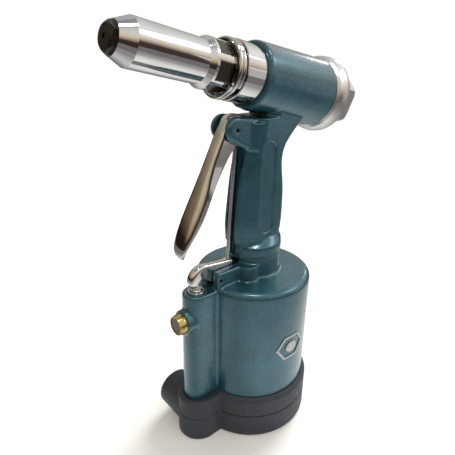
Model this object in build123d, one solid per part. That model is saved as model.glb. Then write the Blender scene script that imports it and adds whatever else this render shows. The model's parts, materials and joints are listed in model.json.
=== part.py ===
"""Hydro-pneumatic rivet gun: one STEP file for each real piece.

Frame: +Z up, origin at the centre of the boot's flat foot on the cylinder's axis,
the nose towards -X and the air inlet towards +Y. All sizes are in millimetres.
"""
from build123d import *
import math
import os

# ---------------------------------------------------------------- driving dimensions
# air cylinder and boot
CYL_R = 44.0             # outer radius at the shoulder
CYL_FOOT_R = 43.3        # outer radius at the foot, after the casting's draft
CYL_BORE_R = 38.0
CYL_FOOT_Z = 5.0
SHOULDER_Z = 124.0
ROOF_Z = 117.0           # underside of the cylinder's closed top
BOOT_R = 46.8
BOOT_RIM_Z = 35.6
GROOVE_Z = 19.4          # decorative groove round the boot
NECK_R = 19.5
NECK_TOP_Z = 139.5
NECK_COLLAR_R = 12.4     # threaded collar that joins the neck to the grip

# throttle valve housing, in front of the cylinder
VALVE_X = -54.8
VALVE_R = 9.8
VALVE_TOP_Z = 122.0
VALVE_BORE_R = 6.0
LOBE_X = -52.6           # centre of the boot's lobe round the valve housing
LOBE_R = 16.1
MUFFLER_Z = 100.8
INLET_Z = 18.0
INLET_SLEEVE_R = 14.5
INLET_SLEEVE_Y = 31.0

# barrel: an axis through (0, 0, BARREL_Z), tilted nose-up
BARREL_Z = 264.5
BARREL_TILT = 11.7
FACE_S = 12.8            # front face, measured along the axis towards the nose
REAR_S = -52.8           # rear face
CAP_END_S = -81.0        # end of the rear cap's hexagon
FRONT_R = 22.4
REAR_R = 24.7
HEAD_BORE_R = 19.0
LOCK_NUT_R = 19.2
LOCK_NUT_END_S = 29.6
SLEEVE_R = 15.5          # the nose's collar
NOSE_R = 13.35
NOSE_CONE_S = 99.0
NOSE_END_S = 107.6
NOSEPIECE_S = 111.3
RING_R = 17.7            # to the middle of the ring's wire
RING_DROP = 0.3          # how far the ring hangs below the barrel's axis
RING_S = 34.2
RING_END_ANGLE = -124.0  # where its two ends lie, turned from straight up towards +Y
FLATS_S = (36.2, 48.6)
FLAT_DEPTH_R = 14.2      # distance of a wrench flat from the axis
FLAT_ANGLE = -44.0       # first of six flats, turned from straight up towards +Y

# grip
GRIP_FOOT_Z = 139.7
GRIP_FOOT_R = 19.8
LEDGE_R = 21.8           # the foot widens to this rim, and a ledge slopes in above it
LEDGE_Z = (146.6, 154.5)
GRIP_HALF_WIDTH = 14.5
RAM_R = 8.0
RAM_BORE_R = 8.4
RAM_BORE_TOP_Z = 234.0
EAR_HALF_GAP = 6.4
EAR_HALF_WIDTH = 10.0
EAR_R = 8.7
CLEVIS_TOP_Z = 240.2
NOTCH_X = -1.5           # back of the notch between the clevis and the barrel

# trigger linkage pivots, in the plane y = 0
TRIGGER_PIVOT = (-27.6, 233.8)
ROD_TOP = (-20.8, 233.0)
ROD_FOOT = (-26.5, 136.6)
LEVER_PIVOT = (-40.0, 129.0)
PIN_R = 1.4
LINK_PIN_R = 1.1
ROD_R = 1.5
TRIGGER_HALF_WIDTH = 6.0
LEVER_HALF_WIDTH = 3.3
BRACKET_HALF_GAP = 3.7
BRACKET_HALF_WIDTH = 10.4
BRACKET_TOP_Z = 135.2

# clearances
SLIDE_GAP = 0.3          # between a seal and the bore it runs in
FIT_GAP = 0.05           # between pieces that are fixed together

# ---------------------------------------------------------------- helpers
_tilt = math.radians(BARREL_TILT)
NOSE_DIRECTION = (-math.cos(_tilt), 0, math.sin(_tilt))
BARREL_UP = (math.sin(_tilt), 0, math.cos(_tilt))
BARREL = Plane(origin=(0, 0, BARREL_Z), x_dir=BARREL_UP, z_dir=NOSE_DIRECTION)
MUFFLER = Plane(origin=(VALVE_X, 0, MUFFLER_Z), x_dir=(0, 0, 1), z_dir=(-1, 0, 0))
INLET = Plane(origin=(VALVE_X, 0, INLET_Z), x_dir=(0, 0, 1), z_dir=(0, 1, 0))
VALVE = Plane(origin=(VALVE_X, 0, 0))
OIL_PORT = Plane(origin=(9.5, 0, 230), x_dir=(0, 0, 1), z_dir=(0, 1, 0))

pieces = {}


def put(name, shape, plane=Plane.XY):
    """Keep one finished piece, moved from its own plane into the shared frame."""
    placed = plane.location * shape
    solids = placed.solids()
    placed = solids[0] if len(solids) == 1 else Compound(children=list(solids))
    placed.label = name
    pieces[name] = placed


def turned(*profile):
    """Solid of revolution about Z from (radius, height) points."""
    outline = Polyline(*profile, close=True)
    return revolve(Plane.XZ * make_face(outline), axis=Axis.Z)


def rod(radius, low, high, x=0.0, y=0.0):
    """Round bar along Z from height low to height high."""
    return Pos(x, y, (low + high) / 2) * Cylinder(radius, high - low)


def tube(outer, inner, low, high):
    return rod(outer, low, high) - rod(inner, low - 1, high + 1)


def block(x, y, z):
    """Box between two limits on each axis."""
    size = [high - low for low, high in (x, y, z)]
    middle = [(high + low) / 2 for low, high in (x, y, z)]
    return Pos(*middle) * Box(*size)


def cross_rod(radius, at, half_length):
    """Round bar along Y through the point at = (x, z)."""
    return Pos(at[0], 0, at[1]) * Rot(90, 0, 0) * Cylinder(radius, 2 * half_length)


def side_plate(points, half_width):
    """Plate of an (x, z) outline, spanning y = -half_width to +half_width."""
    return extrude(Plane.XZ * make_face(Polyline(*points, close=True)), half_width, both=True)


def hexagon_bar(across_flats, low, high, turn=0.0):
    face = Rot(0, 0, turn) * RegularPolygon(across_flats / 2, 6, major_radius=False)
    return Pos(0, 0, low) * extrude(face, high - low)


def o_ring(radius, section, z):
    return Pos(0, 0, z) * Torus(radius, section)


def coil_spring(radius, wire, low, high, turns):
    """Open coil whose wire stays between the two heights."""
    path = Helix(pitch=(high - low - 2 * wire) / turns, height=high - low - 2 * wire, radius=radius)
    section = Plane(origin=path @ 0, z_dir=path % 0) * Circle(wire)
    return Pos(0, 0, low + wire) * sweep(section, path=path)


def stadium(centre_x, radius, low, high, reach=20.0):
    """Round-nosed housing that runs back from its centre towards the cylinder."""
    web = block((centre_x, centre_x + reach), (-radius, radius), (low, high))
    return rod(radius, low, high, centre_x) + web


def tilted_bar(radius, start, end):
    """Round bar between two points given as (x, y, z)."""
    line = Vector(*end) - Vector(*start)
    plane = Plane(origin=start, z_dir=line.normalized())
    return plane.location * Pos(0, 0, line.length / 2) * Cylinder(radius, line.length)


def edges_near(shape, z, reach, kind=None):
    """Edges of a shape whose middle is at height z, within reach of the Z axis."""
    found = shape.edges() if kind is None else shape.edges().filter_by(kind)
    return [e for e in found if abs((e @ 0.5).Z - z) < 0.02 and math.hypot((e @ 0.5).X, (e @ 0.5).Y) < reach]


# ---------------------------------------------------------------- base
def cylinder_casting():
    body = turned((0, CYL_FOOT_Z), (CYL_FOOT_R, CYL_FOOT_Z), (CYL_R, SHOULDER_Z), (0, SHOULDER_Z))
    body = fillet(edges_near(body, SHOULDER_Z, CYL_R + 1, GeomType.CIRCLE), 4.6)
    neck = rod(NECK_R, SHOULDER_Z - 1, NECK_TOP_Z)
    body += neck
    body = fillet(edges_near(body, SHOULDER_Z, NECK_R + 0.5, GeomType.CIRCLE), 2.2)
    housing = stadium(VALVE_X, VALVE_R, CYL_FOOT_Z, VALVE_TOP_Z)
    rim = [e for e in housing.edges() if abs((e @ 0.5).Z - VALVE_TOP_Z) < 0.01 and (e @ 0.5).X < -36]
    housing = fillet(rim, 1.3)
    body += housing
    # bracket for the valve lever, and the round boss beside it
    bracket = block((-43, -12), (-BRACKET_HALF_WIDTH, BRACKET_HALF_WIDTH), (SHOULDER_Z - 4, BRACKET_TOP_Z))
    bracket = fillet(bracket.edges().filter_by(Axis.Z).group_by(Axis.X)[0], 1.6)
    bracket = fillet(bracket.faces().sort_by(Axis.Z)[-1].edges().group_by(Axis.X)[0], 1.4)
    body += bracket
    body += rod(8.0, SHOULDER_Z - 4, BRACKET_TOP_Z, -15.5, -10.5)
    body -= block((-50, -17), (-BRACKET_HALF_GAP, BRACKET_HALF_GAP), (SHOULDER_Z - 1.6, BRACKET_TOP_Z + 1))
    body -= cross_rod(PIN_R + FIT_GAP, LEVER_PIVOT, 12)
    # muffler boss and inlet boss
    body += MUFFLER.location * rod(9.2, 4, 12.1)
    body += INLET.location * rod(11.5, 0, 26)
    # bores
    body -= rod(CYL_BORE_R, CYL_FOOT_Z - 1, ROOF_Z)
    body -= rod(39.6, 8, 10)
    body -= rod(RAM_BORE_R, ROOF_Z - 1, NECK_TOP_Z + 1)
    body -= rod(11.5, 120.4, NECK_TOP_Z + 1)
    body -= rod(NECK_COLLAR_R + FIT_GAP, 126.9, NECK_TOP_Z + 1)
    body -= rod(VALVE_BORE_R, CYL_FOOT_Z - 1, VALVE_TOP_Z + 1, VALVE_X)
    body -= MUFFLER.location * rod(5.0, 0, 13)
    body -= INLET.location * rod(6.6, 0, 27)
    body -= tilted_bar(2.0, (VALVE_X, 0, 19.2), (-36, 0, 19.2))
    return body


def base_boot():
    wall = turned((0, 0), (BOOT_R - 1.4, 0), (BOOT_R - 0.3, 1.2), (BOOT_R, 3), (BOOT_R, GROOVE_Z - 0.8),
                  (BOOT_R - 1.3, GROOVE_Z - 0.3), (BOOT_R - 1.3, GROOVE_Z + 0.3), (BOOT_R, GROOVE_Z + 0.8),
                  (BOOT_R, 32.4), (BOOT_R - 0.6, 33.8),
                  (CYL_FOOT_R + 0.8, BOOT_RIM_Z), (0, BOOT_RIM_Z))
    lobe = stadium(LOBE_X, LOBE_R, 0, BOOT_RIM_Z - 0.6)
    ends = [e for e in lobe.edges() if e.geom_type == GeomType.CIRCLE and (e @ 0.5).X < LOBE_X]
    lobe = chamfer([e for e in ends if (e @ 0.5).Z > 20], 1.6)
    lobe = fillet([e for e in lobe.edges() if e.geom_type == GeomType.CIRCLE and (e @ 0.5).Z < 1], 1.2)
    sleeve = fillet(rod(INLET_SLEEVE_R, 0, INLET_SLEEVE_Y).edges().group_by(Axis.Z)[-1], 1.5)
    lobe -= Pos(LOBE_X, 0, 0) * o_ring(LOBE_R + 0.1, 0.7, GROOVE_Z)
    boot = wall + lobe + INLET.location * sleeve
    boot -= turned((0, CYL_FOOT_Z), (CYL_FOOT_R + FIT_GAP, CYL_FOOT_Z), (CYL_FOOT_R + 0.3, BOOT_RIM_Z + 1),
                   (0, BOOT_RIM_Z + 1))
    boot -= stadium(VALVE_X, VALVE_R + FIT_GAP, CYL_FOOT_Z, BOOT_RIM_Z + 20)
    boot -= INLET.location * rod(11.5 + FIT_GAP, 0, 26.05)
    boot -= INLET.location * rod(9.7, 20, INLET_SLEEVE_Y + 1)
    return boot


def make_base():
    put("cylinder_casting", cylinder_casting())
    put("base_boot", base_boot())
    cover = rod(CYL_BORE_R - FIT_GAP, 10.2, 17) - o_ring(37.0, 1.0, 13.6)
    put("cylinder_end_cover", cover)
    put("end_cover_o_ring", o_ring(36.95, 0.95, 13.6))
    snap = tube(39.5, 36.4, 8.2, 9.8) - block((30, 45), (-6, 6), (7, 11))
    put("end_cover_snap_ring", snap)
    put("piston_bumper", fillet(rod(12, 17, 19.7).edges().group_by(Axis.Z)[-1], 0.8))
    put("neck_ram_seal", tube(11.4, RAM_R + SLIDE_GAP, 120.5, 126.8))
    put("neck_threaded_collar", tube(NECK_COLLAR_R, RAM_BORE_R, 127, 148))
    put("side_emblem", side_emblem())


def side_emblem():
    """Raised badge on the cylinder's side: a six-sided rim round a plain disc."""
    rim = RegularPolygon(12.8, 6) - RegularPolygon(10.9, 6) + Circle(5.0)
    prism = Pos(0, 0, 75) * Rot(90, 0, 0) * extrude(scale(rim, (1.08, 0.86, 1)), 60)
    return prism & (rod(44.45, 55, 95) - rod(CYL_R - 0.15, 54, 96))


# ---------------------------------------------------------------- air piston and ram
def make_air_piston():
    piston = rod(CYL_BORE_R - 0.5, 20, 33)
    piston -= tube(CYL_BORE_R, 34.4, 24.4, 28.6)
    piston -= rod(10, 19, 25.2)
    piston -= rod(5, 19, 34)
    put("air_piston", piston)
    put("air_piston_seal", tube(CYL_BORE_R - SLIDE_GAP, 34.45, 24.5, 28.5))
    ram = rod(RAM_R, 33, 150) + rod(4.95, 20.6, 34)
    ram = chamfer(ram.edges().group_by(Axis.Z)[-1], 1)
    put("hydraulic_ram", ram)
    nut = hexagon_bar(14, 20.4, 25.1) - rod(5, 19, 27)
    put("ram_nut", nut)


# ---------------------------------------------------------------- throttle valve
def make_valve():
    bush = rod(VALVE_BORE_R - FIT_GAP, 108.5, 123.2) - rod(2.3, 107, 125) - rod(4.7, 117.0, 125)
    bush = fillet(bush.edges().group_by(Axis.Z)[-1], 0.5)
    put("valve_bush", bush, VALVE)
    sleeve = tube(VALVE_BORE_R - FIT_GAP, 4.3, 30, 96)
    ports = [Pos(0, 0, z) * Rot(0, 90, 45 * k) * Cylinder(1.2, 16) for z in (48, 82) for k in range(4)]
    for port in ports:
        sleeve -= port
    put("valve_sleeve", sleeve, VALVE)
    stem = rod(2.0, 36.2, 122) + rod(4.3, 121, 124.2)
    stem = fillet(stem.edges().group_by(Axis.Z)[-1], 0.8)
    lands = (40, 62, 88)
    rings = [o_ring(3.3, 0.7, low + 2.5) for low in lands]
    for low, ring in zip(lands, rings):
        stem += rod(3.7, low, low + 5)
        stem -= ring
    put("valve_stem", stem, VALVE)
    put("valve_stem_o_rings", Compound(children=rings), VALVE)
    put("valve_spring", coil_spring(3.2, 0.45, 16.2, 36, 6), VALVE)
    plug = rod(VALVE_BORE_R - FIT_GAP, 5.2, 16) - hexagon_bar(5, 4, 9)
    put("valve_bottom_plug", plug, VALVE)


def make_muffler():
    body = turned((0, 5.5), (4.9, 5.5), (4.9, 12.2), (7.5, 12.2), (7.5, 14.2), (7.1, 16.2), (6.8, 17.5),
                  (6.2, 17.5), (6.2, 16.2), (0, 16.2))
    body -= rod(3.4, 5, 17)
    put("muffler_body", body, MUFFLER)
    mesh = rod(6.15, 16.25, 17.1)
    put("muffler_mesh", mesh, MUFFLER)


def make_inlet():
    adapter = rod(6.5, 10, 26.2) + rod(9.4, 26.1, 33)
    adapter = chamfer(adapter.edges().group_by(Axis.Z)[-1], 0.6)
    adapter -= rod(4.0, 9, 34) + rod(5.9, 20, 34)
    put("air_inlet_adapter", adapter, INLET)


# ---------------------------------------------------------------- handle
def grip_section(z, front, rear, front_half=6.5, full_x=-9):
    """Level slice of the grip: flat front, sides at full width from full_x on, rounded palm."""
    corners = [(front, front_half, 2.5), (full_x, GRIP_HALF_WIDTH, 6),
               (rear - 9, GRIP_HALF_WIDTH, 6), (rear, 5, 5)]
    loop = [(x, -y, r) for x, y, r in corners] + [(x, y, r) for x, y, r in reversed(corners)]
    face = Polygon(*[(x, y) for x, y, r in loop], align=None)
    for x, y, radius in corners:
        spots = [v for v in face.vertices() if abs(v.X - x) < 1e-4 and abs(abs(v.Y) - y) < 1e-4]
        face = fillet(spots, radius)
    return Pos(0, 0, z) * face


def rod_line_x(z):
    """x of the trigger rod's axis at height z."""
    along = (z - ROD_FOOT[1]) / (ROD_TOP[1] - ROD_FOOT[1])
    return ROD_FOOT[0] + along * (ROD_TOP[0] - ROD_FOOT[0])


def handle_casting():
    barrel = turned((0, REAR_S), (REAR_R, REAR_S), (FRONT_R, FACE_S), (0, FACE_S))
    barrel = fillet(barrel.edges().group_by(Axis.Z)[-1], 2.2)
    body = BARREL.location * barrel
    # height, front and rear of each level slice
    slices = [(146, -25.0, 19.8), (160, -24.6, 21.4), (180, -23.2, 22.0), (194, -21.6, 21.0),
              (206, -19.6, 19.2), (216, -17.6, 20.0), (226, -15.4, 26.0), (234, -13.0, 34.1),
              (CLEVIS_TOP_Z, -12.2, 39.8)]
    body += loft([grip_section(z, front, rear) for z, front, rear in slices])
    body += loft([grip_section(z, NOTCH_X, rear, 9, 5) for z, rear in ((238, 37.8), (250, 48.8))])
    # flared foot, and the front rib that carries on down to it
    rim_z, ledge_top_z = LEDGE_Z
    body += turned((0, GRIP_FOOT_Z), (GRIP_FOOT_R, GRIP_FOOT_Z), (LEDGE_R, rim_z), (0, rim_z))
    shoulder = Pos(5, 0, ledge_top_z) * Circle(GRIP_HALF_WIDTH - 0.1)
    body += loft([Pos(0, 0, rim_z) * Circle(LEDGE_R), shoulder])
    body += loft([grip_section(GRIP_FOOT_Z, -25.2, 12), grip_section(147, -25.0, 12)])
    # clevis for the trigger
    ear_x, ear_z = TRIGGER_PIVOT
    ear = Pos(ear_x, ear_z) * Circle(EAR_R)
    root = Polygon((-6, 216), (-6, CLEVIS_TOP_Z), (-12, CLEVIS_TOP_Z), (-12, 216), align=None)
    cheek = extrude(Plane.XZ * make_hull(ear.edges() + root.edges()), EAR_HALF_WIDTH, both=True)
    cheek = fillet([e for e in cheek.edges() if abs(abs((e @ 0.5).Y) - EAR_HALF_WIDTH) < 0.01], 3.2)
    gusset = Polygon((-19, -8.6), (-8, -14.3), (-8, 14.3), (-19, 8.6), align=None)
    body += cheek + Pos(0, 0, 219) * extrude(gusset, 18.5)
    body -= block((-40, -13), (-EAR_HALF_GAP, EAR_HALF_GAP), (217, 246))
    body -= block((-40, -13), (-4.9, 4.9), (205, 218))
    body -= cross_rod(PIN_R + FIT_GAP, TRIGGER_PIVOT, 12)
    # groove for the trigger rod
    low, high = 138.0, 226.0
    deep = 8.0
    groove = [(-45, low), (rod_line_x(low) + deep, low), (rod_line_x(high) + deep, high), (-45, high)]
    body -= side_plate(groove, 4.1)
    # shallow finger panels on both sides
    for side in (-1, 1):
        panel = Pos(-2.2, side * (GRIP_HALF_WIDTH + 0.2), 191) * Rot(90, 0, 0) * Rot(0, 0, 90)
        body -= panel * extrude(SlotOverall(68, 13.4), 1.3, both=True)
    # bores
    bore = rod(HEAD_BORE_R, REAR_S - 1, -14) + rod(8.0, -16, FACE_S + 1) + rod(13.0, -6, FACE_S + 1)
    bore += rod(LOCK_NUT_R + 0.4, FACE_S - 0.7, FACE_S + 1) + rod(11.5, -12, -5)
    body -= BARREL.location * bore
    body -= rod(RAM_BORE_R, GRIP_FOOT_Z - 1, RAM_BORE_TOP_Z)
    body -= rod(NECK_COLLAR_R + FIT_GAP, GRIP_FOOT_Z - 1, 148.1)
    body -= tilted_bar(2.4, (0, 0, RAM_BORE_TOP_Z - 3), (15.6, 0, 246.5))
    body -= OIL_PORT.location * rod(3.0, 8, 16)
    return body


def make_handle():
    put("handle_casting", handle_casting())
    screw = rod(2.9, 9.6, 15.8) + rod(4.4, 15.65, 18.0)
    screw = chamfer(screw.edges().group_by(Axis.Z)[-1], 0.4) - hexagon_bar(3, 16.2, 19)
    put("oil_filler_screw", screw, OIL_PORT)
    put("oil_filler_washer", tube(5.0, 3.0, GRIP_HALF_WIDTH + 0.05, 15.6), OIL_PORT)


# ---------------------------------------------------------------- nose, along the barrel
def make_nose():
    lock = tube(LOCK_NUT_R, 13.0, FACE_S - 0.6, LOCK_NUT_END_S)
    lock = chamfer(lock.edges().group_by(Axis.Z)[-1].sort_by(SortBy.LENGTH)[-1], 0.5)
    put("frame_lock_nut", lock, BARREL)

    housing = turned((0, -5.9), (12.9, -5.9), (12.9, LOCK_NUT_END_S), (SLEEVE_R, LOCK_NUT_END_S),
                     (SLEEVE_R, 50.4), (NOSE_R, 54.0), (NOSE_R, NOSE_CONE_S), (9.3, NOSE_END_S),
                     (0, NOSE_END_S))
    for turn in range(6):
        wrench = block((FLAT_DEPTH_R, 20), (-12, 12), FLATS_S)
        housing -= Rot(0, 0, FLAT_ANGLE + 60 * turn) * wrench
    groove = o_ring(12.35, 0.65, -3)
    housing -= rod(10.5, -7, 97) + groove
    housing -= turned((0, 96), (10.5, 96), (10.5, 97), (5.05, 100), (5.05, 109), (0, 109))
    housing -= Rot(0, 0, -153) * Pos(SLEEVE_R, 0, 38.6) * Rot(0, 90, 0) * Cylinder(1.3, 8)
    put("nose_housing", housing, BARREL)
    put("nose_set_screw", Rot(0, 0, -153) * Pos(13.5, 0, 38.6) * Rot(0, 90, 0) * Cylinder(1.25, 3.2), BARREL)

    tip = hexagon_bar(14.9, NOSE_END_S, NOSEPIECE_S, -3)
    tip &= turned((0, NOSE_END_S), (8.6, NOSE_END_S), (8.6, 109.4), (6.5, NOSEPIECE_S), (0, NOSEPIECE_S))
    tip += rod(5.0, 99, NOSE_END_S + 0.5)
    tip -= rod(1.6, 90, 112)
    put("nosepiece", tip, BARREL)
    put("nose_housing_o_ring", groove, BARREL)


def make_hanging_ring():
    """Split ring of two turns that hangs on the collar, against the lock nut."""
    wire = Rot(0, 0, RING_END_ANGLE) * coil_spring(RING_R, 1.35, -4.2, 4.2, 2)
    put("hanging_ring", Pos(-RING_DROP, 0, RING_S) * wire, BARREL)


# ---------------------------------------------------------------- rear cap
def make_rear_cap():
    cap = turned((0, -47.5), (HEAD_BORE_R - FIT_GAP, -47.5), (HEAD_BORE_R - FIT_GAP, REAR_S - 0.05),
                 (24.6, REAR_S - 0.05), (26.2, -54.4), (27.4, -57.4), (27.9, -61), (27.6, -64), (26.4, -66.2),
                 (24, -67.4), (0, -67.4))
    cap += hexagon_bar(38.8, CAP_END_S, -67, -13)
    cap &= turned((0, -47.5), (30, -47.5), (30, -67), (22.4, -79.4), (20.8, CAP_END_S), (0, CAP_END_S))
    cap -= rod(15.5, -66, -45)
    groove = o_ring(18.25, 0.65, -50)
    cap -= rod(5.6, CAP_END_S - 1, -45) + groove
    put("rear_cap", cap, BARREL)
    put("rear_cap_o_ring", groove, BARREL)


# ---------------------------------------------------------------- pull piston and jaws
def make_pull_piston():
    piston = rod(HEAD_BORE_R - 0.5, -30, -18) + rod(7.6, -18.5, 44)
    piston -= tube(HEAD_BORE_R, 16.2, -26, -22)
    piston -= rod(3.4, -31, 45)
    put("pull_piston", piston, BARREL)
    put("pull_piston_seal", tube(HEAD_BORE_R - SLIDE_GAP, 16.25, -25.9, -22.1), BARREL)
    put("rod_gland_seal", tube(11.4, 7.9, -11.9, -6.1), BARREL)
    spring = coil_spring(12.6, 1.5, -65.8, -30.2, 5)
    put("return_spring", spring, BARREL)
    put("jaw_case_nut", hexagon_bar(16, 31, 38) - rod(7.65, 30, 39), BARREL)
    case = rod(9.9, 38.2, 94) - rod(7.65, 37, 44.2) - rod(7.3, 44.1, 80)
    case -= turned((0, 79), (7.3, 79), (7.3, 80), (3.8, 92), (3.8, 95), (0, 95))
    put("jaw_case", case, BARREL)


def jaw_segment(turn):
    """One of three wedge jaws that bite on the mandrel."""
    cone = turned((1.5, 82.5), (6.1, 82.5), (3.5, 91.4), (1.5, 91.4))
    wedge = Polygon((0.6, 0), (20, -33.6), (20, 33.6), align=None)
    segment = cone & (Pos(0, 0, 80) * extrude(wedge, 14))
    return Rot(0, 0, turn) * segment


def make_jaws():
    for number in range(3):
        put(f"jaw_{number + 1}", jaw_segment(120 * number), BARREL)
    pusher = turned((1.9, 62), (7.0, 62), (7.0, 76.5), (5.6, 82.0), (1.9, 82.0))
    put("jaw_pusher", pusher, BARREL)
    put("jaw_spring", coil_spring(6.1, 0.6, 44.3, 61.9, 5), BARREL)


# ---------------------------------------------------------------- trigger linkage
def trigger_shape():
    outer = [(-34.6, 240.6), (-38.6, 229), (-41.6, 222), (-47.8, 206), (-55.2, 189.5), (-62.2, 172),
             (-67, 160), (-68.9, 153.6), (-67.4, 150.6), (-65, 149.6), (-65.2, 152.2), (-62.6, 157),
             (-55, 171.5), (-45, 188), (-35, 205), (-27, 219), (-19.8, 229.4), (-17.6, 233),
             (-20.8, 236.4), (-28, 241.4)]
    hollow = [(-36.8, 228.4), (-40.2, 221.4), (-46.4, 205.4), (-53.8, 188.9), (-60.8, 171.4), (-65.4, 160),
              (-66.8, 156), (-60, 152), (0, 200), (0, 250), (-31, 250), (-33.4, 240)]
    shape = side_plate(outer, TRIGGER_HALF_WIDTH)
    shape -= side_plate(hollow, TRIGGER_HALF_WIDTH - 1.2)
    shape -= cross_rod(PIN_R + 0.06, TRIGGER_PIVOT, 10)
    shape -= cross_rod(LINK_PIN_R, ROD_TOP, 10)
    return shape


def lever_shape():
    outer = [(-24, 139.4), (-50, 141.4), (-55.6, 140), (-59.6, 136.4), (-61.2, 132), (-60, 127.6),
             (-57.6, 124.6), (-56.2, 124.6), (-54.6, 128), (-52, 132), (-48, 133.2), (-44, 130.5),
             (-43, 126.8), (-40, 125.3), (-37, 126.6), (-34.6, 131), (-24, 133.4)]
    hollow = [(-20, 150), (-31, 150), (-31, 138.8), (-50, 140.2), (-55, 138.9), (-58.6, 135.6), (-60, 132),
              (-58.9, 128.4), (-57, 126.6), (-50, 120), (-20, 120)]
    shape = side_plate(outer, LEVER_HALF_WIDTH) - side_plate(hollow, LEVER_HALF_WIDTH - 1.0)
    taper = extrude(Plane.YZ * Polygon((3.4, 133), (1.6, 124), (6, 124), (6, 133), align=None), 12)
    shape -= Pos(-62.5, 0, 0) * (taper + mirror(taper, Plane.XZ))
    shape -= cross_rod(PIN_R + 0.06, LEVER_PIVOT, 10)
    shape -= cross_rod(LINK_PIN_R, ROD_FOOT, 10)
    return shape


def trigger_rod_shape():
    """Push rod with a round eye on top and a slotted eye at its foot."""
    top = (ROD_TOP[0], 0, ROD_TOP[1])
    foot = (ROD_FOOT[0], 0, ROD_FOOT[1])
    shape = tilted_bar(ROD_R, foot, top)
    shape += cross_rod(3.2, ROD_TOP, 2.4)
    foot_eye = cross_rod(2.9, ROD_FOOT, 1.8) + cross_rod(2.9, (ROD_FOOT[0] - 1.8, ROD_FOOT[1]), 1.8)
    foot_eye += block((ROD_FOOT[0] - 1.8, ROD_FOOT[0]), (-1.8, 1.8), (ROD_FOOT[1] - 2.9, ROD_FOOT[1] + 2.9))
    shape += foot_eye
    shape -= cross_rod(LINK_PIN_R + 0.5, ROD_TOP, 10)
    slot_r = LINK_PIN_R + 0.4
    shape -= cross_rod(slot_r, ROD_FOOT, 10) + cross_rod(slot_r, (ROD_FOOT[0] - 1.8, ROD_FOOT[1]), 10)
    shape -= block((ROD_FOOT[0] - 1.8, ROD_FOOT[0]), (-10, 10), (ROD_FOOT[1] - slot_r, ROD_FOOT[1] + slot_r))
    return shape


def make_linkage():
    put("trigger", trigger_shape())
    put("trigger_pivot_pin", cross_rod(PIN_R, TRIGGER_PIVOT, 8.4))
    put("trigger_link_pin", cross_rod(LINK_PIN_R, ROD_TOP, TRIGGER_HALF_WIDTH))
    put("trigger_rod", trigger_rod_shape())
    put("valve_lever", lever_shape())
    put("lever_pivot_pin", cross_rod(PIN_R, LEVER_PIVOT, 8.8))
    put("lever_link_pin", cross_rod(LINK_PIN_R, ROD_FOOT, LEVER_HALF_WIDTH))


def main():
    make_base()
    make_air_piston()
    make_valve()
    make_muffler()
    make_inlet()
    make_handle()
    make_nose()
    make_hanging_ring()
    make_rear_cap()
    make_pull_piston()
    make_jaws()
    make_linkage()
    os.makedirs("parts", exist_ok=True)
    for name, shape in pieces.items():
        export_step(shape, f"parts/{name}.step")


main()
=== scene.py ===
"""Looks of the hydro-pneumatic rivet gun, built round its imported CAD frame. Metres, +Z up."""
import json
import math

import bmesh
import bpy
from mathutils import Matrix, Vector


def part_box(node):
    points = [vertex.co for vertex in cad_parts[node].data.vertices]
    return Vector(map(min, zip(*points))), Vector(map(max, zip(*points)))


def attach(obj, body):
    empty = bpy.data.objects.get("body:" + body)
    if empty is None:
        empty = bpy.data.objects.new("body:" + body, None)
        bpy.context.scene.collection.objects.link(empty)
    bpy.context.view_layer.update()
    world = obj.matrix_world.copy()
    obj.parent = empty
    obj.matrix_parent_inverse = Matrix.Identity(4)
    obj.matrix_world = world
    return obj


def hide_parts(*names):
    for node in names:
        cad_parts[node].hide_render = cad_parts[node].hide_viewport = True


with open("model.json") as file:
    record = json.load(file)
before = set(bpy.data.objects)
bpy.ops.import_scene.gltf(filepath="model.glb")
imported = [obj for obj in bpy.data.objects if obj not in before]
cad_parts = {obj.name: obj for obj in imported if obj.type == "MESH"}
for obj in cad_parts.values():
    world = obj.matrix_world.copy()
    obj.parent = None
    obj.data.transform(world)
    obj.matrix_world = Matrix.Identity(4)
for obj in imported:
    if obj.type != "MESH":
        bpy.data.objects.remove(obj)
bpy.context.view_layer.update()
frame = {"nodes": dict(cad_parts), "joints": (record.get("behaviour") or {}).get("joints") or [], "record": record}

MM = 0.001
joints = {joint["name"]: joint for joint in frame["joints"]}
NOSE_AXIS = Vector(joints["hanging_ring_swivel"]["axis"])
BARREL_CENTRE = Vector((0, 0, 0.2645))
FLATS_S = (36.2, 48.6)       # wrench flats, in mm along the barrel's axis
FLATS_TOP_R = 15.2
FOOT_RIM_Z = (138, 151)      # height of the grip's foot, in mm
FOOT_R = 19.9
FOOT_RIM_TRIM = 0.75         # share of the rim's overhang that is taken off


# ---------------------------------------------------------------- node trees
class Tree:
    """A node tree, with short calls for the nodes that the room and the finishes share."""

    def __init__(self, tree):
        self.tree = tree

    def new(self, kind, **values):
        node = self.tree.nodes.new(kind)
        for key, value in values.items():
            setattr(node, key, value)
        return node

    def link(self, start, end):
        self.tree.links.new(start, end)

    def remap(self, value, source, target):
        node = self.new("ShaderNodeMapRange")
        for socket, number in zip(("From Min", "From Max", "To Min", "To Max"), (*source, *target)):
            node.inputs[socket].default_value = number
        self.link(value, node.inputs["Value"])
        return node.outputs[0]

    def mix(self, share, first, second, blend="MIX"):
        node = self.new("ShaderNodeMix", data_type="RGBA", blend_type=blend)
        self.link(share, node.inputs["Factor"])
        for socket, colour in ((node.inputs[6], first), (node.inputs[7], second)):
            if isinstance(colour, tuple):
                socket.default_value = (*colour, 1)
            else:
                self.link(colour, socket)
        return node.outputs[2]

    def product(self, first, second):
        node = self.new("ShaderNodeMath", operation="MULTIPLY")
        self.link(first, node.inputs[0])
        self.link(second, node.inputs[1])
        return node.outputs[0]


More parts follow.
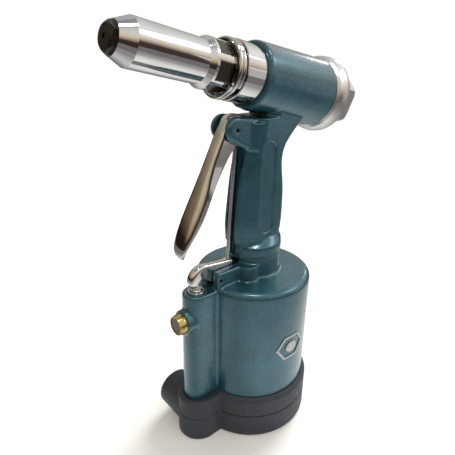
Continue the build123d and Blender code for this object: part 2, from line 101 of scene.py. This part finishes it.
# ---------------------------------------------------------------- camera, light and floor
CAMERA_AZIMUTH = -42.17
CAMERA_ELEVATION = 20.0
CAMERA_ROLL = 1.75
CAMERA_DISTANCE = 0.30897
CAMERA_TARGET = Vector((-0.01357, 0, 0.17723))
SENSOR = 36.0
FOCAL_WIDTHS = 0.945055      # focal length as a share of the sensor's width
SHIFT = (-0.0322, -0.0490)
NEAR_CLIP = 0.01
SUN_DIRECTION = Vector((0.81, 0.29, 0.515))
SUN_STRENGTH = 3.3
SUN_SPREAD = 36              # degrees
GUN_MIDDLE = Vector((0, 0, 0.15))
WINDOWS = {                  # name: (place, size, radiance)
    "window": ((0.75, -0.55, 1.0), (0.5, 0.3), 4.0),
    "small_window": ((1.10, 0.42, 0.68), (0.12, 0.24), 8.0),
    "overhead": ((-0.16, -0.2, 1.4), (0.22, 0.22), 26.0),
    "low_window": ((0.95, -0.75, 0.22), (0.7, 0.5), 0.6),
}
ROOM_BANDS = [               # sine of the height angle, and the colour that mirrors see there
    (0.0, (0.050, 0.035, 0.035)), (0.06, (0.065, 0.045, 0.045)), (0.16, (0.34, 0.26, 0.20)),
    (0.28, (0.62, 0.53, 0.42)), (0.42, (0.80, 0.76, 0.69)), (0.60, (0.84, 0.83, 0.81)),
    (0.85, (0.74, 0.75, 0.76)), (0.97, (0.36, 0.36, 0.38)),
]
WARM_TINT = (0.80, 0.72, 0.56)
FLOOR_RADIUS = 1.1
FLOOR_GLOW = 0.14
PAPER_RADIUS = 0.42          # white paper that mirrors see on the darker bench
PAPER_EDGE = 0.03            # half the width of its soft edge
PAPER_FADE = (0.13, 0.30)    # it dims over this reach from the gun
BENCH_COLOUR = (0.055, 0.045, 0.045)


def make_camera():
    a, e = math.radians(CAMERA_AZIMUTH), math.radians(CAMERA_ELEVATION)
    back = Vector((math.sin(a) * math.cos(e), -math.cos(a) * math.cos(e), math.sin(e)))
    right = Vector((math.cos(a), math.sin(a), 0))
    level = Matrix((right, back.cross(right), back)).transposed()
    data = bpy.data.cameras.new("camera")
    data.sensor_width = SENSOR
    data.lens = SENSOR * FOCAL_WIDTHS
    data.shift_x, data.shift_y = SHIFT
    data.clip_start = NEAR_CLIP
    camera = bpy.data.objects.new("camera", data)
    turned = level @ Matrix.Rotation(math.radians(CAMERA_ROLL), 3, "Z")
    camera.matrix_world = Matrix.Translation(CAMERA_TARGET + back * CAMERA_DISTANCE) @ turned.to_4x4()
    bpy.context.scene.collection.objects.link(camera)
    bpy.context.scene.camera = camera


def make_sun():
    """Soft daylight from behind the rear cap; reflections leave it out."""
    data = bpy.data.lights.new("sun", "SUN")
    data.energy = SUN_STRENGTH
    data.angle = math.radians(SUN_SPREAD)
    lamp = bpy.data.objects.new("sun", data)
    lamp.rotation_mode = "QUATERNION"
    lamp.rotation_quaternion = SUN_DIRECTION.to_track_quat("Z", "Y")
    lamp.visible_glossy = False
    bpy.context.scene.collection.objects.link(lamp)


def make_window(name, place, size, radiance):
    """Rectangle of light that aims at the gun and is only seen in its highlights."""
    data = bpy.data.lights.new(name, "AREA")
    data.shape = "RECTANGLE"
    data.size, data.size_y = size
    data.energy = math.pi * size[0] * size[1] * radiance
    lamp = bpy.data.objects.new(name, data)
    lamp.location = place
    lamp.rotation_mode = "QUATERNION"
    lamp.rotation_quaternion = (Vector(place) - GUN_MIDDLE).to_track_quat("Z", "Y")
    lamp.visible_camera = False
    lamp.visible_diffuse = False
    bpy.context.scene.collection.objects.link(lamp)


def make_world():
    """White room for the camera.

    Mirrors see a dark horizon under brighter bands, which are strongest behind the rear cap (+X),
    dimmer to the far side (+Y) and warmer before the nose (-X).
    """
    world = bpy.data.worlds.new("studio")
    bpy.context.scene.world = world
    world.use_nodes = True
    world.node_tree.nodes.clear()
    t = Tree(world.node_tree)
    way = t.new("ShaderNodeSeparateXYZ")
    t.link(t.new("ShaderNodeTexCoord").outputs["Generated"], way.inputs[0])
    ramp = t.new("ShaderNodeValToRGB")
    t.link(way.outputs["Z"], ramp.inputs[0])
    stops = ramp.color_ramp.elements
    stops.remove(stops[1])
    for number, (height, colour) in enumerate(ROOM_BANDS):
        stop = stops[0] if number == 0 else stops.new(height)
        stop.position = height
        stop.color = (*colour, 1)
    forward = t.remap(way.outputs["X"], (-0.9, 0.6), (1.15, 1.45))
    sideways = t.remap(way.outputs["Y"], (-0.1, 0.7), (1.0, 0.5))
    warmth = t.remap(way.outputs["X"], (-0.6, 0.1), (1.0, 0.0))
    room = t.new("ShaderNodeBackground")
    t.link(t.mix(warmth, ramp.outputs[0], WARM_TINT, "MULTIPLY"), room.inputs["Color"])
    t.link(t.product(forward, sideways), room.inputs["Strength"])
    plain = t.new("ShaderNodeBackground")
    plain.inputs["Color"].default_value = (1, 1, 1, 1)
    pick = t.new("ShaderNodeMixShader")
    t.link(t.new("ShaderNodeLightPath").outputs["Is Camera Ray"], pick.inputs[0])
    t.link(room.outputs[0], pick.inputs[1])
    t.link(plain.outputs[0], pick.inputs[2])
    t.link(pick.outputs[0], t.new("ShaderNodeOutputWorld").inputs[0])


def make_floor():
    mesh = bpy.data.meshes.new("floor")
    shape = bmesh.new()
    bmesh.ops.create_circle(shape, cap_ends=True, radius=FLOOR_RADIUS, segments=96)
    shape.to_mesh(mesh)
    shape.free()
    floor = bpy.data.objects.new("floor", mesh)
    bpy.context.scene.collection.objects.link(floor)
    mesh.materials.append(floor_paper())


# ---------------------------------------------------------------- materials
class Nodes(Tree):
    """One material's node tree, with the textures and masks that the finishes share."""

    def __init__(self, name):
        self.made = bpy.data.materials.new(name)
        self.made.use_nodes = True
        super().__init__(self.made.node_tree)
        self.shader = self.tree.nodes["Principled BSDF"]
        self.place = self.new("ShaderNodeTexCoord").outputs["Object"]

    def along(self, axis, stretch):
        """Coordinates drawn out across an axis, so that noise becomes fine lines around it."""
        turn = Vector(axis).rotation_difference(Vector((0, 0, 1))).to_euler()
        rotate = self.new("ShaderNodeVectorRotate", rotation_type="EULER_XYZ")
        rotate.inputs["Rotation"].default_value = turn
        scale = self.new("ShaderNodeVectorMath", operation="MULTIPLY")
        scale.inputs[1].default_value = stretch
        self.link(self.place, rotate.inputs["Vector"])
        self.link(rotate.outputs[0], scale.inputs[0])
        return scale.outputs[0]

    def noise(self, scale, detail=2.0, where=None, rough=0.5):
        node = self.new("ShaderNodeTexNoise")
        node.inputs["Scale"].default_value = scale
        node.inputs["Detail"].default_value = detail
        node.inputs["Roughness"].default_value = rough
        self.link(where or self.place, node.inputs["Vector"])
        return node.outputs["Fac"]

    def cells(self, scale, smooth):
        node = self.new("ShaderNodeTexVoronoi", feature="SMOOTH_F1")
        node.inputs["Scale"].default_value = scale
        node.inputs["Smoothness"].default_value = smooth
        self.link(self.place, node.inputs["Vector"])
        return node.outputs["Distance"]

    def bump(self, height, distance, strength=1.0, before=None):
        node = self.new("ShaderNodeBump")
        node.inputs["Distance"].default_value = distance * MM
        node.inputs["Strength"].default_value = strength
        self.link(height, node.inputs["Height"])
        if before:
            self.link(before, node.inputs["Normal"])
        return node.outputs[0]

    def patches(self, scale, detail, first, second):
        """Two colours in soft patches."""
        return self.mix(self.remap(self.noise(scale, detail), (0.3, 0.7), (0, 1)), first, second)

    def edges(self, low, high):
        """0 on flats, rising to 1 on outward edges."""
        geometry = self.new("ShaderNodeNewGeometry")
        return self.remap(geometry.outputs["Pointiness"], (low, high), (0.0, 1.0))

    def wrench_flats(self):
        """1 on the flats milled into the nose's collar and on their end walls, 0 elsewhere."""
        start, end = (station * MM for station in FLATS_S)
        arm = self.new("ShaderNodeVectorMath", operation="SUBTRACT")
        arm.inputs[1].default_value = BARREL_CENTRE
        self.link(self.place, arm.inputs[0])
        station = self.new("ShaderNodeVectorMath", operation="DOT_PRODUCT")
        station.inputs[1].default_value = NOSE_AXIS
        self.link(arm.outputs[0], station.inputs[0])
        across = self.new("ShaderNodeVectorMath", operation="CROSS_PRODUCT")
        across.inputs[1].default_value = NOSE_AXIS
        self.link(arm.outputs[0], across.inputs[0])
        radius = self.new("ShaderNodeVectorMath", operation="LENGTH")
        self.link(across.outputs[0], radius.inputs[0])
        soft = 0.1 * MM
        top = FLATS_TOP_R * MM
        after = self.remap(station.outputs["Value"], (start - soft, start), (0, 1))
        before = self.remap(station.outputs["Value"], (end, end + soft), (1, 0))
        below = self.remap(radius.outputs["Value"], (top, top + 1.5 * soft), (1, 0))
        return self.product(self.product(before, after), below)

    def set(self, **sockets):
        for name, value in sockets.items():
            self.shader.inputs[name.replace("_", " ").title()].default_value = value


def finish(name, dark, light, grain, rough, bump=0.02, metallic=0.0, around=None):
    """General finish: mottled colour, uneven gloss and a fine relief, or turning marks around an axis."""
    n = Nodes(name)
    where = n.along(around, (8, 8, 260)) if around else None
    relief = n.noise(6 if around else grain * 6, 3, where)
    n.link(n.patches(grain, 3, dark, light), n.shader.inputs["Base Color"])
    n.link(n.remap(n.noise(grain / 3, 4), (0.3, 0.7), rough), n.shader.inputs["Roughness"])
    n.link(n.bump(relief, bump), n.shader.inputs["Normal"])
    n.set(metallic=metallic)
    return n.made


def floor_paper():
    """White paper; mirrors see a round sheet of it on a dark bench."""
    n = Nodes("floor_paper")
    path = n.new("ShaderNodeLightPath")
    white = n.patches(40, 3, (0.90, 0.90, 0.90), (0.93, 0.93, 0.93))
    reach = n.new("ShaderNodeVectorMath", operation="LENGTH")
    n.link(n.place, reach.inputs[0])
    edge = (PAPER_RADIUS - PAPER_EDGE, PAPER_RADIUS + PAPER_EDGE)
    bench = n.remap(reach.outputs["Value"], edge, (0, 1))
    fade = n.remap(reach.outputs["Value"], PAPER_FADE, (0, 1))
    paper = n.mix(fade, (0.85, 0.855, 0.85), (0.22, 0.22, 0.22))
    mirrored = n.mix(bench, paper, BENCH_COLOUR)
    n.link(n.mix(path.outputs["Is Glossy Ray"], white, mirrored), n.shader.inputs["Base Color"])
    n.set(roughness=0.9, emission_color=(1, 1, 1, 1), emission_strength=FLOOR_GLOW)
    return n.made


def hammertone():
    """Teal enamel with small metallic dimples, brighter where it is worn on outward edges."""
    n = Nodes("teal_hammertone")
    dimples = n.cells(620, 0.8)
    flakes = n.noise(2600, 2)
    clouds = n.noise(60, 3)
    deep = n.mix(n.remap(clouds, (0.35, 0.65), (0, 1)), (0.012, 0.078, 0.112), (0.019, 0.104, 0.146))
    sparkle = n.mix(n.remap(flakes, (0.56, 0.70), (0, 1)), deep, (0.085, 0.27, 0.33))
    worn = n.mix(n.remap(n.edges(0.51, 0.62), (0, 1), (0, 0.55)), sparkle, (0.12, 0.33, 0.39))
    n.link(worn, n.shader.inputs["Base Color"])
    n.link(n.remap(n.noise(900, 2), (0.3, 0.7), (0.28, 0.42)), n.shader.inputs["Roughness"])
    soft = n.bump(n.noise(450, 2), 0.22, 0.5)
    n.link(n.bump(dimples, 0.18, 0.6, soft), n.shader.inputs["Normal"])
    n.set(metallic=0.5, coat_weight=0.8, coat_roughness=0.15)
    return n.made


def chrome():
    """Polished plate with faint swirls, worn down to dull steel on the nose's wrench flats."""
    n = Nodes("chrome_plate")
    plate = n.patches(90, 4, (0.58, 0.575, 0.57), (0.64, 0.64, 0.64))
    flat = n.wrench_flats()
    n.link(n.mix(flat, plate, (0.085, 0.075, 0.058)), n.shader.inputs["Base Color"])
    gloss = n.remap(n.noise(220, 5, rough=0.7), (0.35, 0.75), (0.035, 0.12))
    dull = n.new("ShaderNodeMath", operation="MULTIPLY_ADD")
    dull.inputs[1].default_value = 0.22
    n.link(flat, dull.inputs[0])
    n.link(gloss, dull.inputs[2])
    n.link(dull.outputs[0], n.shader.inputs["Roughness"])
    n.link(n.bump(n.noise(5, 4, n.along(NOSE_AXIS, (6, 6, 300))), 0.012, 0.25), n.shader.inputs["Normal"])
    n.set(metallic=1.0)
    return n.made


def satin_aluminium():
    """Turned face with fine rings about the barrel and a dull cast bloom."""
    n = Nodes("turned_aluminium")
    rings = n.noise(6, 4, n.along(NOSE_AXIS, (5, 5, 420)))
    n.link(n.mix(n.remap(rings, (0.3, 0.7), (0, 1)), (0.56, 0.56, 0.55), (0.68, 0.68, 0.67)),
           n.shader.inputs["Base Color"])
    n.link(n.remap(n.noise(500, 3), (0.3, 0.7), (0.28, 0.42)), n.shader.inputs["Roughness"])
    n.link(n.bump(rings, 0.03, 0.6), n.shader.inputs["Normal"])
    n.set(metallic=1.0)
    return n.made


def moulded_rubber():
    """Dark boot rubber: fine grain, dusty on its outward edges."""
    n = Nodes("boot_rubber")
    base = n.patches(35, 4, (0.028, 0.035, 0.050), (0.037, 0.045, 0.062))
    dusty = n.mix(n.remap(n.edges(0.51, 0.60), (0, 1), (0, 0.4)), base, (0.066, 0.072, 0.082))
    n.link(dusty, n.shader.inputs["Base Color"])
    n.link(n.remap(n.noise(260, 3), (0.3, 0.7), (0.48, 0.62)), n.shader.inputs["Roughness"])
    n.link(n.bump(n.noise(2400, 2), 0.03, 0.5), n.shader.inputs["Normal"])
    n.shader.inputs["Specular IOR Level"].default_value = 0.4
    return n.made


def make_materials():
    """One finish for each material slot of the record."""
    return {
        "teal_paint": hammertone(),
        "boot_rubber": moulded_rubber(),
        "chrome": chrome(),
        "satin_aluminium": satin_aluminium(),
        "black_steel": finish("black_oxide", (0.020, 0.018, 0.014), (0.035, 0.030, 0.024), 400,
                              (0.28, 0.42), metallic=0.7, around=NOSE_AXIS),
        "steel": finish("machined_steel", (0.50, 0.50, 0.50), (0.60, 0.60, 0.60), 500, (0.2, 0.35),
                        metallic=1.0),
        "spring_steel": finish("spring_wire", (0.30, 0.30, 0.32), (0.40, 0.40, 0.42), 700, (0.25, 0.4),
                               metallic=1.0),
        "brass": finish("turned_brass", (0.42, 0.34, 0.11), (0.56, 0.46, 0.18), 300, (0.12, 0.26),
                        metallic=1.0, around=(1, 0, 0)),
        "mesh_steel": finish("gauze_wire", (0.48, 0.45, 0.40), (0.62, 0.58, 0.52), 900, (0.3, 0.45),
                             bump=0.01, metallic=1.0),
        "seal_rubber": finish("nitrile", (0.018, 0.018, 0.018), (0.03, 0.03, 0.03), 300, (0.4, 0.55),
                              bump=0.01),
        "emblem_silver": finish("badge_silver", (0.40, 0.43, 0.43), (0.50, 0.53, 0.52), 600,
                                (0.32, 0.45), metallic=0.8),
    }


def paint_cad_nodes(materials):
    for row in frame["record"]["subparts"]:
        data = frame["nodes"][row["node"]].data
        data.materials.clear()
        data.materials.append(materials[row["material_slot"]])


# ---------------------------------------------------------------- pieces
slots = {row["node"]: row["material_slot"] for row in frame["record"]["subparts"]}


def settle(piece):
    """Turns a piece's modifiers into mesh."""
    bpy.context.view_layer.update()
    shown = piece.evaluated_get(bpy.context.evaluated_depsgraph_get())
    mesh = bpy.data.meshes.new_from_object(shown)
    piece.modifiers.clear()
    piece.data = mesh
    for face in mesh.polygons:
        face.use_smooth = True


def stand_for(piece, node, body, materials):
    """Gives a new piece its node's finish and body, and hides the node."""
    piece.data.materials.clear()
    piece.data.materials.append(materials[slots[node]])
    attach(piece, body)
    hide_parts(node)


def moulded_copy(node, name, materials, voxel, passes):
    """The CAD node's own shape with every edge softened, as a casting's or moulding's is."""
    piece = bpy.data.objects.new(name, frame["nodes"][node].data.copy())
    bpy.context.scene.collection.objects.link(piece)
    weld = piece.modifiers.new("weld", "WELD")
    weld.merge_threshold = 0.01 * MM
    remesh = piece.modifiers.new("remesh", "REMESH")
    remesh.mode = "VOXEL"
    remesh.voxel_size = voxel * MM
    relax = piece.modifiers.new("relax", "SMOOTH")
    relax.factor = 0.5
    relax.iterations = passes
    settle(piece)
    stand_for(piece, node, "gun_body", materials)
    return piece


def ease_foot_rim(handle):
    """Draws the grip's foot rim in to a slight bead."""
    low, high = (height * MM for height in FOOT_RIM_Z)
    for vertex in handle.data.vertices:
        if low < vertex.co.z < high:
            reach = math.hypot(vertex.co.x, vertex.co.y)
            over = reach - FOOT_R * MM
            if over > 0:
                vertex.co.xy *= (reach - FOOT_RIM_TRIM * over) / reach


def spline(points, share):
    """Point at a share of the way along a smooth line through the points."""
    spans = len(points) - 1
    at = min(share * spans, spans - 1e-9)
    k, t = int(at), at - int(at)
    p = [Vector(points[max(0, min(spans, k + step))]) for step in (-1, 0, 1, 2)]
    return 0.5 * (2 * p[1] + (p[2] - p[0]) * t + (2 * p[0] - 5 * p[1] + 4 * p[2] - p[3]) * t * t
                  + (3 * p[1] - p[0] - 3 * p[2] + p[3]) * t ** 3)


def pressed_channel(name, outer, inner, widths, corners, crown, thickness, rows):
    """Sheet-steel channel bent along a line in the plane y = 0.

    outer is the line of its back and inner the line of its flanges' free edges, as (x, z) in mm.
    widths and corners give its half width and corner radius along the way, and crown is how far
    its back bulges.
    """
    shape = bmesh.new()
    arc_steps, web_steps, flange_steps = 6, 6, 6
    strips = []
    for row in range(rows + 1):
        share = row / rows
        back, edge = spline(outer, share), spline(inner, share)
        depth = (edge - back).length
        inward = (edge - back).normalized()
        half = spline([(w, 0) for w in widths], share)[0]
        radius = min(spline([(c, 0) for c in corners], share)[0], half * 0.98, depth * 0.98)
        profile = [(half, depth + (radius - depth) * k / flange_steps) for k in range(flange_steps)]
        for k in range(arc_steps):
            angle = math.pi / 2 * k / arc_steps
            profile.append((half - radius + radius * math.cos(angle), radius - radius * math.sin(angle)))
        flat = half - radius
        profile += [(flat * (1 - k / web_steps), 0) for k in range(web_steps + 1)]
        profile += [(-y, d) for y, d in reversed(profile[:-1])]
        strip = []
        for y, d in profile:
            d -= crown * math.cos(min(1, abs(y) / half) * math.pi / 2)
            spot = back + inward * d
            strip.append(shape.verts.new((spot[0] * MM, y * MM, spot[1] * MM)))
        strips.append(strip)
    for first, second in zip(strips, strips[1:]):
        for k in range(len(first) - 1):
            shape.faces.new((first[k], first[k + 1], second[k + 1], second[k]))
    bmesh.ops.recalc_face_normals(shape, faces=shape.faces)
    mesh = bpy.data.meshes.new(name)
    shape.to_mesh(mesh)
    shape.free()
    piece = bpy.data.objects.new(name, mesh)
    bpy.context.scene.collection.objects.link(piece)
    solid = piece.modifiers.new("solid", "SOLIDIFY")
    solid.thickness = thickness * MM
    solid.offset = 0
    rounding = piece.modifiers.new("rounding", "BEVEL")
    rounding.width = 0.3 * MM
    rounding.segments = 3
    rounding.limit_method = "ANGLE"
    rounding.angle_limit = math.radians(50)
    settle(piece)
    return piece


def make_trigger(materials):
    """Long trigger: closed over its pivot, narrow between the clevis cheeks, spoon-shaped below."""
    outer = [(-18.5, 241.2), (-24.5, 242.2), (-29.8, 240.2), (-33.6, 234.5), (-37, 227.5), (-41.2, 219),
             (-45.2, 210.5), (-49.2, 202), (-53.3, 193), (-57.6, 184), (-61.9, 175), (-65.5, 166.5),
             (-67.8, 159.5), (-68.3, 155), (-67.2, 152), (-65.4, 151)]
    inner = [(-18.3, 239.6), (-19.0, 236.6), (-19.6, 232.2), (-22, 227.2), (-26.4, 221.4), (-31, 215.6),
             (-35.9, 208.4), (-41.2, 200.6), (-46.2, 192.2), (-51.2, 183.2), (-56.4, 174.4), (-61.6, 166.8),
             (-65.8, 160), (-67, 155.6), (-66.4, 153.2), (-65.2, 152)]
    widths = (4.0, 4.2, 4.3, 4.3, 4.3, 4.4, 4.7, 5.5, 6.7, 7.6, 7.9, 7.6, 6.6, 5.0, 3.0, 0.9)
    corners = (0.8, 0.9, 0.9, 0.9, 0.9, 1.0, 1.3, 2.0, 2.9, 3.4, 3.5, 3.0, 2.2, 1.4, 1.0, 0.6)
    piece = pressed_channel("pressed_trigger", outer, inner, widths, corners, crown=0.6, thickness=1.1,
                            rows=120)
    stand_for(piece, "trigger", "trigger_body", materials)


def make_lever(materials):
    """Valve lever: a channel that curls over at its end and rests on the valve stem."""
    outer = [(-24.4, 138.4), (-33, 138.9), (-42, 139.9), (-50, 140.8), (-55.4, 139.5), (-59.2, 136),
             (-60.7, 131.6), (-59.6, 127.6), (-57.4, 125.2)]
    inner = [(-24.4, 133.4), (-32, 130.6), (-39.6, 125.6), (-46.4, 129.2), (-51.2, 131.8), (-54.0, 130.6),
             (-55.6, 128.4), (-56.2, 126.4), (-56.4, 125.3)]
    piece = pressed_channel("pressed_lever", outer, inner,
                            widths=(2.8, 2.8, 2.8, 2.9, 3.1, 3.1, 2.9, 2.5, 1.8),
                            corners=(1.4, 1.4, 1.4, 1.6, 2.2, 2.4, 2.1, 1.5, 0.8),
                            crown=0.2, thickness=0.9, rows=64)
    stand_for(piece, "valve_lever", "lever_body", materials)


def add_wire(shape, path, across, wire):
    """Round wire along a path in mesh units; its rings lie across the X axis and one other axis."""
    sides = 6
    rings = []
    for spot in path:
        ring = []
        for side in range(sides):
            angle = 2 * math.pi * side / sides
            step = Vector((math.cos(angle), 0, 0)) + across * math.sin(angle)
            ring.append(shape.verts.new(spot + wire * step))
        rings.append(ring)
    for first, second in zip(rings, rings[1:]):
        for side in range(sides):
            after = (side + 1) % sides
            shape.faces.new((first[side], first[after], second[after], second[side]))
    shape.faces.new(rings[0])
    shape.faces.new(rings[-1])


def make_gauze(materials):
    """Woven wire disc in the mouth of the muffler, facing -X."""
    pitch, wire, weave, margin, steps = 0.95 * MM, 0.2 * MM, 0.16 * MM, 0.2 * MM, 40
    low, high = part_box("muffler_mesh")
    centre = (low + high) / 2
    radius = (high.y - low.y) / 2 - margin
    count = int(radius / pitch)
    level, upright = Vector((0, 1, 0)), Vector((0, 0, 1))
    shape = bmesh.new()
    for phase, along, across in ((0, upright, level), (1, level, upright)):
        for number in range(-count, count + 1):
            reach = math.sqrt(max(radius ** 2 - (number * pitch) ** 2, 0))
            path = []
            for step in range(steps + 1):
                run = -reach + 2 * reach * step / steps
                wave = weave * math.cos(math.pi * (run / pitch + number + phase))
                path.append(centre + Vector((wave, 0, 0)) + across * number * pitch + along * run)
            add_wire(shape, path, across, wire)
    bmesh.ops.recalc_face_normals(shape, faces=shape.faces)
    mesh = bpy.data.meshes.new("woven_gauze")
    shape.to_mesh(mesh)
    shape.free()
    piece = bpy.data.objects.new("woven_gauze", mesh)
    bpy.context.scene.collection.objects.link(piece)
    stand_for(piece, "muffler_mesh", "gun_body", materials)


# ---------------------------------------------------------------- assembly
bpy.context.scene.view_settings.view_transform = "Standard"
make_camera()
make_world()
make_floor()
make_sun()
for window, (window_place, window_size, brightness) in WINDOWS.items():
    make_window(window, window_place, window_size, brightness)

finishes = make_materials()
paint_cad_nodes(finishes)
moulded_copy("cylinder_casting", "cast_cylinder", finishes, voxel=0.7, passes=4)
ease_foot_rim(moulded_copy("handle_casting", "cast_handle", finishes, voxel=0.6, passes=4))
moulded_copy("base_boot", "moulded_boot", finishes, voxel=0.45, passes=1)
make_trigger(finishes)
make_lever(finishes)
make_gauze(finishes)
